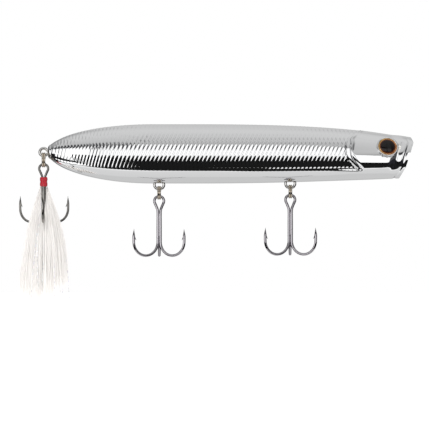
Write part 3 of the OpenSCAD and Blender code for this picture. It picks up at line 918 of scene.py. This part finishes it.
class POPPER_OT_wire_forms(bpy.types.Operator):
    """Bend the line tie and the three hook hangers"""
    bl_idname = "popper.wire_forms"
    bl_label = "Line tie and hangers"

    def execute(self, context):
        wire = context.scene.popper_wire.hanger_wire
        material = metal_material("stainless_wire", context.scene.popper_finishes.wire, 0.13)
        ways = {"line_tie": (-FORWARD, UP), "front_belly_hanger": (UP, -FORWARD),
                "rear_belly_hanger": (UP, -FORWARD), "tail_hanger": (FORWARD, UP)}
        for node, (ahead, aside) in ways.items():
            low, high = corners(node)
            reach = abs(ahead.dot(high - low))
            far = (abs(aside.dot(high - low)) - wire) / 2
            near = (TAIL_EYE - wire) / 2 if node == "tail_hanger" else far
            start = middle(node) - ahead * (reach / 2 - near - wire / 2)
            points = [start + ahead * p.x + aside * p.y
                      for p in wire_form_path(near, far, wire, reach - near - far - wire)]
            piece = smooth(wire_piece(f"bent_{node}", points, wire / 2, 20))
            dress(piece, material, "lure_body", node)
        return {"FINISHED"}


class POPPER_OT_split_rings(bpy.types.Operator):
    """Coil the three split rings: two turns that cross over at one side"""
    bl_idname = "popper.split_rings"
    bl_label = "Split rings"

    def execute(self, context):
        wire = context.scene.popper_wire.ring_wire
        material = metal_material("warm_nickel", context.scene.popper_finishes.ring, 0.12)
        gap = math.radians(25)
        step = wire / 2 + 0.01 * MM
        for node, body in (("front_belly_ring", "front_ring"), ("rear_belly_ring", "rear_ring"),
                           ("tail_ring", "tail_ring_link")):
            centre = middle(node)
            radius = (node_span(node, 2) - wire) / 2
            points = []
            for a in np.linspace(gap, 4 * math.pi - gap, 132):
                x = step * (2 * ease((a - 2 * math.pi + gap) / (2 * gap)) - 1)
                points.append(centre + Vector((x, radius * math.cos(a), radius * math.sin(a))))
            radii = [wire / 2] * len(points)
            radii[0] = radii[-1] = wire * 0.36
            piece = smooth(wire_piece(f"coiled_{node}", points, radii, 16))
            dress(piece, material, body, node)
        return {"FINISHED"}


# ---------------------------------------------------------------- treble hooks

class Treble:
    """One treble hook's shape, read from its CAD nodes."""

    POINT_RISE = 4.3 * MM       # from the end of the bend to the point

    def __init__(self, name, wire, eye_width, side):
        """The double hook's prongs lean to one side along Y, 1 or -1; the single hook faces it."""
        self.pair, self.single = f"{name}_treble_pair", f"{name}_treble_single"
        self.wire = wire
        self.side = side
        low, high = corners(self.pair)
        slant = math.cos(math.radians(30))
        self.axis_x = (low.x + high.x) / 2
        self.strand = (wire / 2 + 0.012 * MM) / slant
        self.out = ((high.x - low.x) / 2 - wire / 2) / slant
        self.bend = (self.out - self.strand) / 2
        self.bend_z = low.z + wire / 2 + self.bend
        self.eye_radius = (eye_width - wire) / 2
        self.eye_z = high.z - self.eye_radius - wire / 2
        self.neck_z = self.eye_z - 2.2 * self.eye_radius

    def polar(self, radius, azimuth, z):
        a = math.radians(azimuth)
        return Vector((self.axis_x + radius * math.cos(a), radius * math.sin(a), z))

    def prong(self, azimuth):
        """Points and radii from the neck down, round the bend and up to the point."""
        s, b, c = self.strand, self.bend, self.bend_z
        path = [(s, self.neck_z), (s, (self.neck_z + c) / 2 + 1 * MM), (s, c + 1.2 * MM), (s, c)]
        path += [(s + b + b * math.cos(a), c + b * math.sin(a))
                 for a in np.linspace(math.pi, 2 * math.pi, 29)[1:]]
        path += [(self.out + outward * MM, c + share * self.POINT_RISE) for outward, share in (
            (0.02, 0.15), (0.02, 0.3), (0, 0.45), (-0.01, 0.58), (-0.03, 0.72), (-0.06, 0.86),
            (-0.10, 1))]
        taper = (0.80, 0.52, 0.26, 0.05)
        shares = [1] * (len(path) - len(taper)) + list(taper)
        return ([self.polar(r, azimuth, z) for r, z in path],
                [self.wire / 2 * share for share in shares])

    def barb(self, azimuth):
        """A sliver cut up from the inner side of the point."""
        tall = 1.5 * MM
        piece = added(bpy.ops.mesh.primitive_cone_add, vertices=12, radius1=0.36 * MM,
                      radius2=0.03 * MM, depth=tall)
        with edit_mode(piece):
            bpy.ops.transform.resize(value=(1, 0.55, 1), center_override=(0, 0, 0))
            bpy.ops.transform.translate(value=(0, 0, tall / 2))
        piece.rotation_mode = "ZYX"
        piece.rotation_euler = (0, math.radians(180 + 33), 0)
        bpy.ops.object.transform_apply(rotation=True)
        piece.rotation_mode = "XYZ"
        piece.rotation_euler = (0, 0, math.radians(azimuth))
        piece.location = self.polar(self.out - 0.1 * MM, azimuth,
                                    self.bend_z + 0.42 * self.POINT_RISE)
        return settle(piece, "barb")

    def braze(self, azimuth):
        """Braze metal that fills the groove between two wires."""
        points = [self.polar(self.strand, azimuth, z)
                  for z in np.linspace(self.neck_z - 0.6 * MM, self.bend_z + 1.5 * MM, 9)]
        radii = [self.wire * 0.12] + [self.wire * 0.20] * 7 + [self.wire * 0.1]
        return wire_piece("braze", points, radii, 10)

    def double_hook(self):
        """Up one prong, round the eye and down the other, with barbs and braze."""
        first, radii = self.prong(self.side * 30)
        second, _ = self.prong(self.side * 150)
        eye = [Vector((self.axis_x, 0, self.eye_z))
               + self.eye_radius * Vector((math.cos(a), 0, math.sin(a)))
               for a in np.linspace(math.radians(-22), math.radians(202), 17)]
        pinch = 0.12 * MM * FORWARD
        throats = (first[0] + eye[0]) / 2 - pinch, (second[0] + eye[-1]) / 2 + pinch
        top = rounded([first[1], first[0], throats[0], *eye, throats[1], second[0], second[1]], 3)
        path = first[:1:-1] + top + second[2:]
        thickness = radii[:1:-1] + [self.wire / 2] * len(top) + radii[2:]
        return ([wire_piece(self.pair + "_wire", path, thickness, 16)]
                + [self.barb(self.side * azimuth) for azimuth in (30, 150)]
                + [self.braze(self.side * azimuth) for azimuth in (90, -30, -150)])

    def single_hook(self):
        azimuth = -self.side * 90
        path, radii = self.prong(azimuth)
        path.insert(0, self.polar(self.strand, azimuth, self.neck_z + 0.28 * MM))
        radii.insert(0, self.wire * 0.3)
        return [wire_piece(self.single + "_wire", path, radii, 16), self.barb(azimuth)]


class POPPER_OT_trebles(bpy.types.Operator):
    """Bend the three treble hooks, each a double hook with a third prong brazed to it"""
    bl_idname = "popper.trebles"
    bl_label = "Treble hooks"

    def execute(self, context):
        wires, finishes = context.scene.popper_wire, context.scene.popper_finishes
        nickel = metal_material("black_nickel", finishes.belly_hook, 0.05, 0.8)
        black = metal_material("blackened_steel", finishes.tail_hook, 0.07, 0.8)
        belly = (wires.belly_hook_wire, 4.05 * MM, -1, nickel, "belly_hook_nickel")
        tail = (wires.tail_hook_wire, 3.75 * MM, 1, black, "tail_hook_black")
        for name, job in (("front", belly), ("rear", belly), ("tail", tail)):
            wire, eye_width, side, material, slot = job
            hook = Treble(name, wire, eye_width, side)
            for parts, kind, node in ((hook.double_hook(), "double", hook.pair),
                                      (hook.single_hook(), "single", hook.single)):
                piece = smooth(join(parts, f"{name}_{kind}_hook"))
                dress(piece, material, f"{name}_treble", node)
        return {"FINISHED"}


# ---------------------------------------------------------------- tail dressing

class POPPER_OT_thread(bpy.types.Operator):
    """Wind the red binding thread in two bands"""
    bl_idname = "popper.thread"
    bl_label = "Binding thread"

    def execute(self, context):
        thread = context.scene.popper_dressing.thread
        low, high = corners("tail_thread_wrap")
        centre = middle("tail_thread_wrap")
        outer = (high.x - low.x) / 2
        tall = high.z - low.z
        turns, turn_points = 15, 24
        waist = 0.20 * MM       # the winding is this much slimmer between its bands
        points = []
        for i in range(turns * turn_points + 1):
            t = i / (turns * turn_points)
            band = abs(math.sin(2 * math.pi * (0.04 + 0.92 * t))) ** 0.6
            radius = outer - thread / 2 - waist * (1 - band)
            a = 2 * math.pi * turns * t
            points.append(Vector((centre.x + radius * math.cos(a), centre.y + radius * math.sin(a),
                                  high.z - thread / 2 - (tall - thread) * t)))
        winding = wire_piece("winding", points, thread / 2, 8)
        core = added(bpy.ops.mesh.primitive_cylinder_add, vertices=40, radius=outer - 0.30 * MM,
                     depth=tall - 0.2 * MM, location=centre)
        piece = smooth(join([winding, settle(core, "varnish")], "red_binding"))
        material = thread_material(context.scene.popper_finishes.thread)
        dress(piece, material, "tail_treble", "tail_thread_wrap")
        return {"FINISHED"}


def level(turn):
    """A level direction, turned from the nose by an angle in radians."""
    return Vector((math.cos(turn), math.sin(turn), 0))


class Strips:
    """Flat strips that become one piece."""

    def __init__(self):
        self.points = []
        self.faces = []

    def add(self, path, widths, sides):
        """Lays a strip along a path; sides are the directions of its width."""
        for i, (point, width, side) in enumerate(zip(path, widths, sides)):
            self.points += [point - side * (width / 2), point + side * (width / 2)]
            if i:
                a = len(self.points) - 4
                self.faces.append((a, a + 1, a + 3, a + 2))

    def piece(self, name):
        piece = added(bpy.ops.mesh.primitive_plane_add)
        plane = piece.data
        piece.data = bpy.data.meshes.new(name)
        piece.data.from_pydata([tuple(point) for point in self.points], [], self.faces)
        bpy.data.meshes.remove(plane)
        return settle(piece, name)


class Dressing:
    """Where the feather fibres run, from the binding down."""

    def __init__(self, seed):
        self.dice = random.Random(seed)
        low, high = corners("tail_feathers")
        self.x = middle("tail_thread_wrap").x
        self.start = corners("tail_thread_wrap")[LOW].z + 0.3 * MM
        self.drop = self.start - low.z
        self.reach = (high.x - low.x) / 2

    def fibre(self, azimuth, spread, fall, wave, steps):
        """One fibre: out in a fan, then straighter down, and behind the bare shank at first."""
        a = math.radians(azimuth)
        side = Vector((-math.sin(a), math.cos(a), 0))
        phase = self.dice.uniform(0, 2 * math.pi)
        path = []
        for i in range(steps + 1):
            t = i / steps
            fan = 1.0 * MM * (1 - t) + spread * self.reach * (1 - (1 - t) ** 1.75)
            late = min(1, 2.2 * t) ** 2 if math.sin(a) < 0 else 1
            sway = wave * t * math.sin(phase + 5 * t)
            forward = math.sin(a) * 0.8 * fan * late + 0.5 * MM * (1 - t) ** 2
            path.append(Vector((self.x + math.cos(a) * fan, forward,
                                self.start - fall * self.drop * t)) + side * sway)
        return path


class POPPER_OT_feathers(bpy.types.Operator):
    """Lay the white feathers: several plumes of fine barbs that fan out from the binding"""
    bl_idname = "popper.feathers"
    bl_label = "Feathers"

    def execute(self, context):
        sizes = context.scene.popper_dressing
        dressing = Dressing(11)
        dice = dressing.dice
        strips = Strips()
        steps = 9
        for plume in range(sizes.plumes):
            heading = 360 * (plume + dice.uniform(-0.25, 0.25)) / sizes.plumes
            forward = math.cos(math.radians(heading)) > 0.25
            longest = dice.uniform(0.97, 1.02) - (0.13 if forward else 0)
            for _ in range(sizes.fibres // sizes.plumes):
                off = dice.gauss(0, 0.45)
                azimuth = heading + 46 * off
                spread = 0.97 * min(0.97, dice.uniform(0.02, 1.0) ** 0.6)
                fall = longest * (1 - 0.09 * off * off) * dice.triangular(0.88, 1.0, 0.985)
                sway = dice.uniform(0.1, 0.5) * MM
                path = dressing.fibre(azimuth, spread, min(fall, 0.995), sway, steps)
                side = level(math.radians(dice.uniform(-50, 50)))
                width = dice.uniform(0.12, 0.24) * MM
                widths = [width * min(1, (steps - i) / 1.5 + 0.12) for i in range(steps + 1)]
                strips.add(path, widths, [side] * len(path))
        piece = smooth(strips.piece("white_feathers"))
        material = feather_material(context.scene.popper_finishes.feather)
        dress(piece, material, "tail_treble", "tail_feathers")
        return {"FINISHED"}


class POPPER_OT_flash(bpy.types.Operator):
    """Lay the twisted pearl flash strands"""
    bl_idname = "popper.flash"
    bl_label = "Flash strands"

    def execute(self, context):
        strands = context.scene.popper_dressing.flash
        dressing = Dressing(23)
        dice = dressing.dice
        strips = Strips()
        for k in range(strands):
            azimuth = 360 * k / strands + dice.uniform(-8, 8)
            path = dressing.fibre(azimuth, dice.uniform(0.55, 1.0), dice.uniform(0.86, 1.0),
                                  0.5 * MM, 60)
            sides = [level(math.radians(azimuth) + i * 1.05) for i in range(len(path))]
            strips.add(path, [0.20 * MM] * len(path), sides)
        piece = strips.piece("flash_strands")
        material = flash_material(context.scene.popper_finishes.flash)
        dress(piece, material, "tail_treble", "tail_flash")
        return {"FINISHED"}


# ---------------------------------------------------------------- inside pieces

class POPPER_OT_inside(bpy.types.Operator):
    """Finish the tail weight and the balls that the shells hold"""
    bl_idname = "popper.inside"
    bl_label = "Weight and balls"

    def execute(self, context):
        sawn = metal_material("sawn_steel", (0.42, 0.42, 0.43), 0.38, 0.4)
        brass = metal_material("rolled_brass", (0.80, 0.58, 0.26), 0.22, 0.5)
        bearing = metal_material("bearing_steel", (0.62, 0.62, 0.63), 0.1)
        for node, material in (("tail_weight", sawn), ("knocker_ball", brass),
                               ("front_rattle_ball", bearing), ("rear_rattle_ball", bearing)):
            for slot in NODES[node].material_slots:
                slot.material = material
        return {"FINISHED"}


# ---------------------------------------------------------------- stage

def humps(*spans):
    """Stops of a ramp that rises and falls once for each start, full, fading, end and peak."""
    return [stop for start, full, fading, end, peak in spans
            for stop in ((start, 0.0), (full, peak), (fading, peak), (end, 0.0))]


def studio_world():
    """White to the eye; mirrors see softboxes, dark screens between them and a pale floor."""
    world = bpy.data.worlds.new("studio")
    bpy.context.scene.world = world
    world.use_nodes = True
    n = Nodes(world.node_tree)
    split = n.add("ShaderNodeSeparateXYZ")
    n.feed(split, {0: n.add("ShaderNodeTexCoord").outputs["Generated"]})
    x, y, z = split.outputs
    height = n.math("ADD", n.math("DIVIDE", n.math("ARCSINE", z), math.pi), 0.5)
    heading = n.math("ARCTAN2", x, n.math("MULTIPLY", y, -1.0))
    heading = n.math("ADD", n.math("DIVIDE", heading, 2 * math.pi), 0.5)

    def by_height(stops):
        """Tones by the angle over the horizon in degrees."""
        return n.ramp(height, [((degrees + 90) / 180, tone) for degrees, tone in stops])

    def by_heading(stops):
        """Tones by the angle round the upright axis in degrees, with the camera's side at 0."""
        return n.ramp(heading, [((degrees + 180) / 360, tone) for degrees, tone in stops])

    front = by_height([
        (-90, 0.66), (-58, 0.70), (-50, 1.0), (-47, 1.0), (-45.5, 0.008), (-30, 0.012),
        (-8.6, 0.004), (-7.8, 1.15), (16.5, 1.1), (17.5, 0.22), (19.5, 0.48), (36, 0.57),
        (60, 0.63), (90, 0.66)])
    back = by_height([(-90, 0.60), (-40, 0.60), (-8, 0.46), (10, 0.46), (30, 0.58), (90, 0.64)])
    behind = by_heading([(-140, 1.0), (-105, 0.0), (105, 0.0), (140, 1.0)])
    screens = by_heading(humps((-173, -160, -72, -66, 1.0), (-7, -6, -2.5, -1.5, 0.93),
                               (21, 25, 58, 64, 0.95), (71, 77, 160, 173, 0.95)))
    screen_height = by_height([(-38, 0.0), (-26, 1.0), (18, 1.0), (30, 0.6), (48, 0.3), (70, 0.0)])
    tail_side = by_heading(humps((-64, -58, -13, -7, 1.0)))
    bar_height = by_height(humps((12, 15, 23, 28, 0.95)))
    dark = n.math("MAXIMUM", n.math("MULTIPLY", screens, screen_height),
                  n.math("MULTIPLY", tail_side, bar_height))
    seen = n.mix(dark, n.mix(behind, front, back), (0.02, 0.02, 0.025))
    rays = n.add("ShaderNodeLightPath")
    n.feed(world.node_tree.nodes["Background"], {
        "Color": n.mix(rays.outputs["Is Glossy Ray"], (1.0, 1.0, 1.0), seen), "Strength": 1.0})


def soft_light(name, place, aim, size, power, mirrored=False):
    light = added(bpy.ops.object.light_add, type="AREA", location=place)
    light.name = name
    light.data.shape = "RECTANGLE"
    light.data.size, light.data.size_y = size
    light.data.energy = power
    light.rotation_euler = (Vector(aim) - Vector(place)).to_track_quat("-Z", "Y").to_euler()
    light.visible_glossy = mirrored
    light.visible_camera = False


class POPPER_OT_stage(bpy.types.Operator):
    """Set the camera, the pale floor and the soft studio light"""
    bl_idname = "popper.stage"
    bl_label = "Stage"

    def execute(self, context):
        centre = Vector((-62.0 * MM, 0, -19.0 * MM))
        distance = 1.6
        shown = 143.0 * MM      # width of the picture at the lure
        camera = added(bpy.ops.object.camera_add, location=centre - Vector((0, distance, 0)),
                       rotation=(math.pi / 2, 0, 0))
        camera.data.lens = camera.data.sensor_width * distance / shown
        camera.data.clip_start = 0.05
        camera.data.clip_end = 20
        context.scene.camera = camera
        floor = added(bpy.ops.mesh.primitive_circle_add, vertices=96, radius=4, fill_type="NGON",
                      location=(0, 0, -110 * MM))
        settle(floor, "floor")
        material, n, shader = new_material("pale_floor")
        n.feed(shader, {"Base Color": n.mix(n.noise(60, 3), (0.93, 0.93, 0.93), (0.95, 0.95, 0.945)),
                        "Roughness": 0.9, "Emission Color": (1, 1, 1), "Emission Strength": 0.28})
        floor.data.materials.append(material)
        floor.visible_glossy = False
        studio_world()
        soft_light("key", (-0.5, -0.8, 0.9), centre, (0.9, 0.9), 5)
        soft_light("fill", (0.6, -0.7, 0.2), centre, (0.8, 0.8), 2)
        soft_light("tail_card", (-0.190, -0.100, -0.043), (-0.190, 0, -0.043),
                   (0.090, 0.064), 0.022, mirrored=True)
        context.scene.view_settings.view_transform = "Standard"
        return {"FINISHED"}


class POPPER_OT_finishes(bpy.types.Operator):
    """Make the shared node groups and the materials of the shells"""
    bl_idname = "popper.finishes"
    bl_label = "Finishes"

    def execute(self, context):
        metal_wear_effect()
        fibre_effect()
        plating_material(context.scene.popper_finishes.chrome)
        plastic_material()
        return {"FINISHED"}


# ---------------------------------------------------------------- add-on

OPERATORS = (POPPER_OT_finishes, POPPER_OT_stage, POPPER_OT_shells, POPPER_OT_eyes,
             POPPER_OT_wire_forms, POPPER_OT_split_rings, POPPER_OT_trebles, POPPER_OT_thread,
             POPPER_OT_feathers, POPPER_OT_flash, POPPER_OT_inside)


class POPPER_PT_panel(bpy.types.Panel):
    """Lists the popper's pieces in the sidebar"""
    bl_idname = "POPPER_PT_panel"
    bl_label = "Topwater popper"
    bl_space_type = "VIEW_3D"
    bl_region_type = "UI"
    bl_category = "Popper"

    def draw(self, context):
        for operator in OPERATORS:
            self.layout.operator(operator.bl_idname)


GROUPS = {"popper_body": BodySizes, "popper_wire": WireSizes,
          "popper_dressing": DressingSizes, "popper_finishes": Finishes}
CLASSES = (*GROUPS.values(), *OPERATORS, POPPER_PT_panel)


def register():
    for cls in CLASSES:
        bpy.utils.register_class(cls)
    for name, group in GROUPS.items():
        setattr(bpy.types.Scene, name, PointerProperty(type=group))


def unregister():
    for name in GROUPS:
        delattr(bpy.types.Scene, name)
    for cls in reversed(CLASSES):
        bpy.utils.unregister_class(cls)


def main():
    register()
    for operator in OPERATORS:
        family, name = operator.bl_idname.split(".")
        getattr(getattr(bpy.ops, family), name)()


if __name__ == "__main__":
    main()
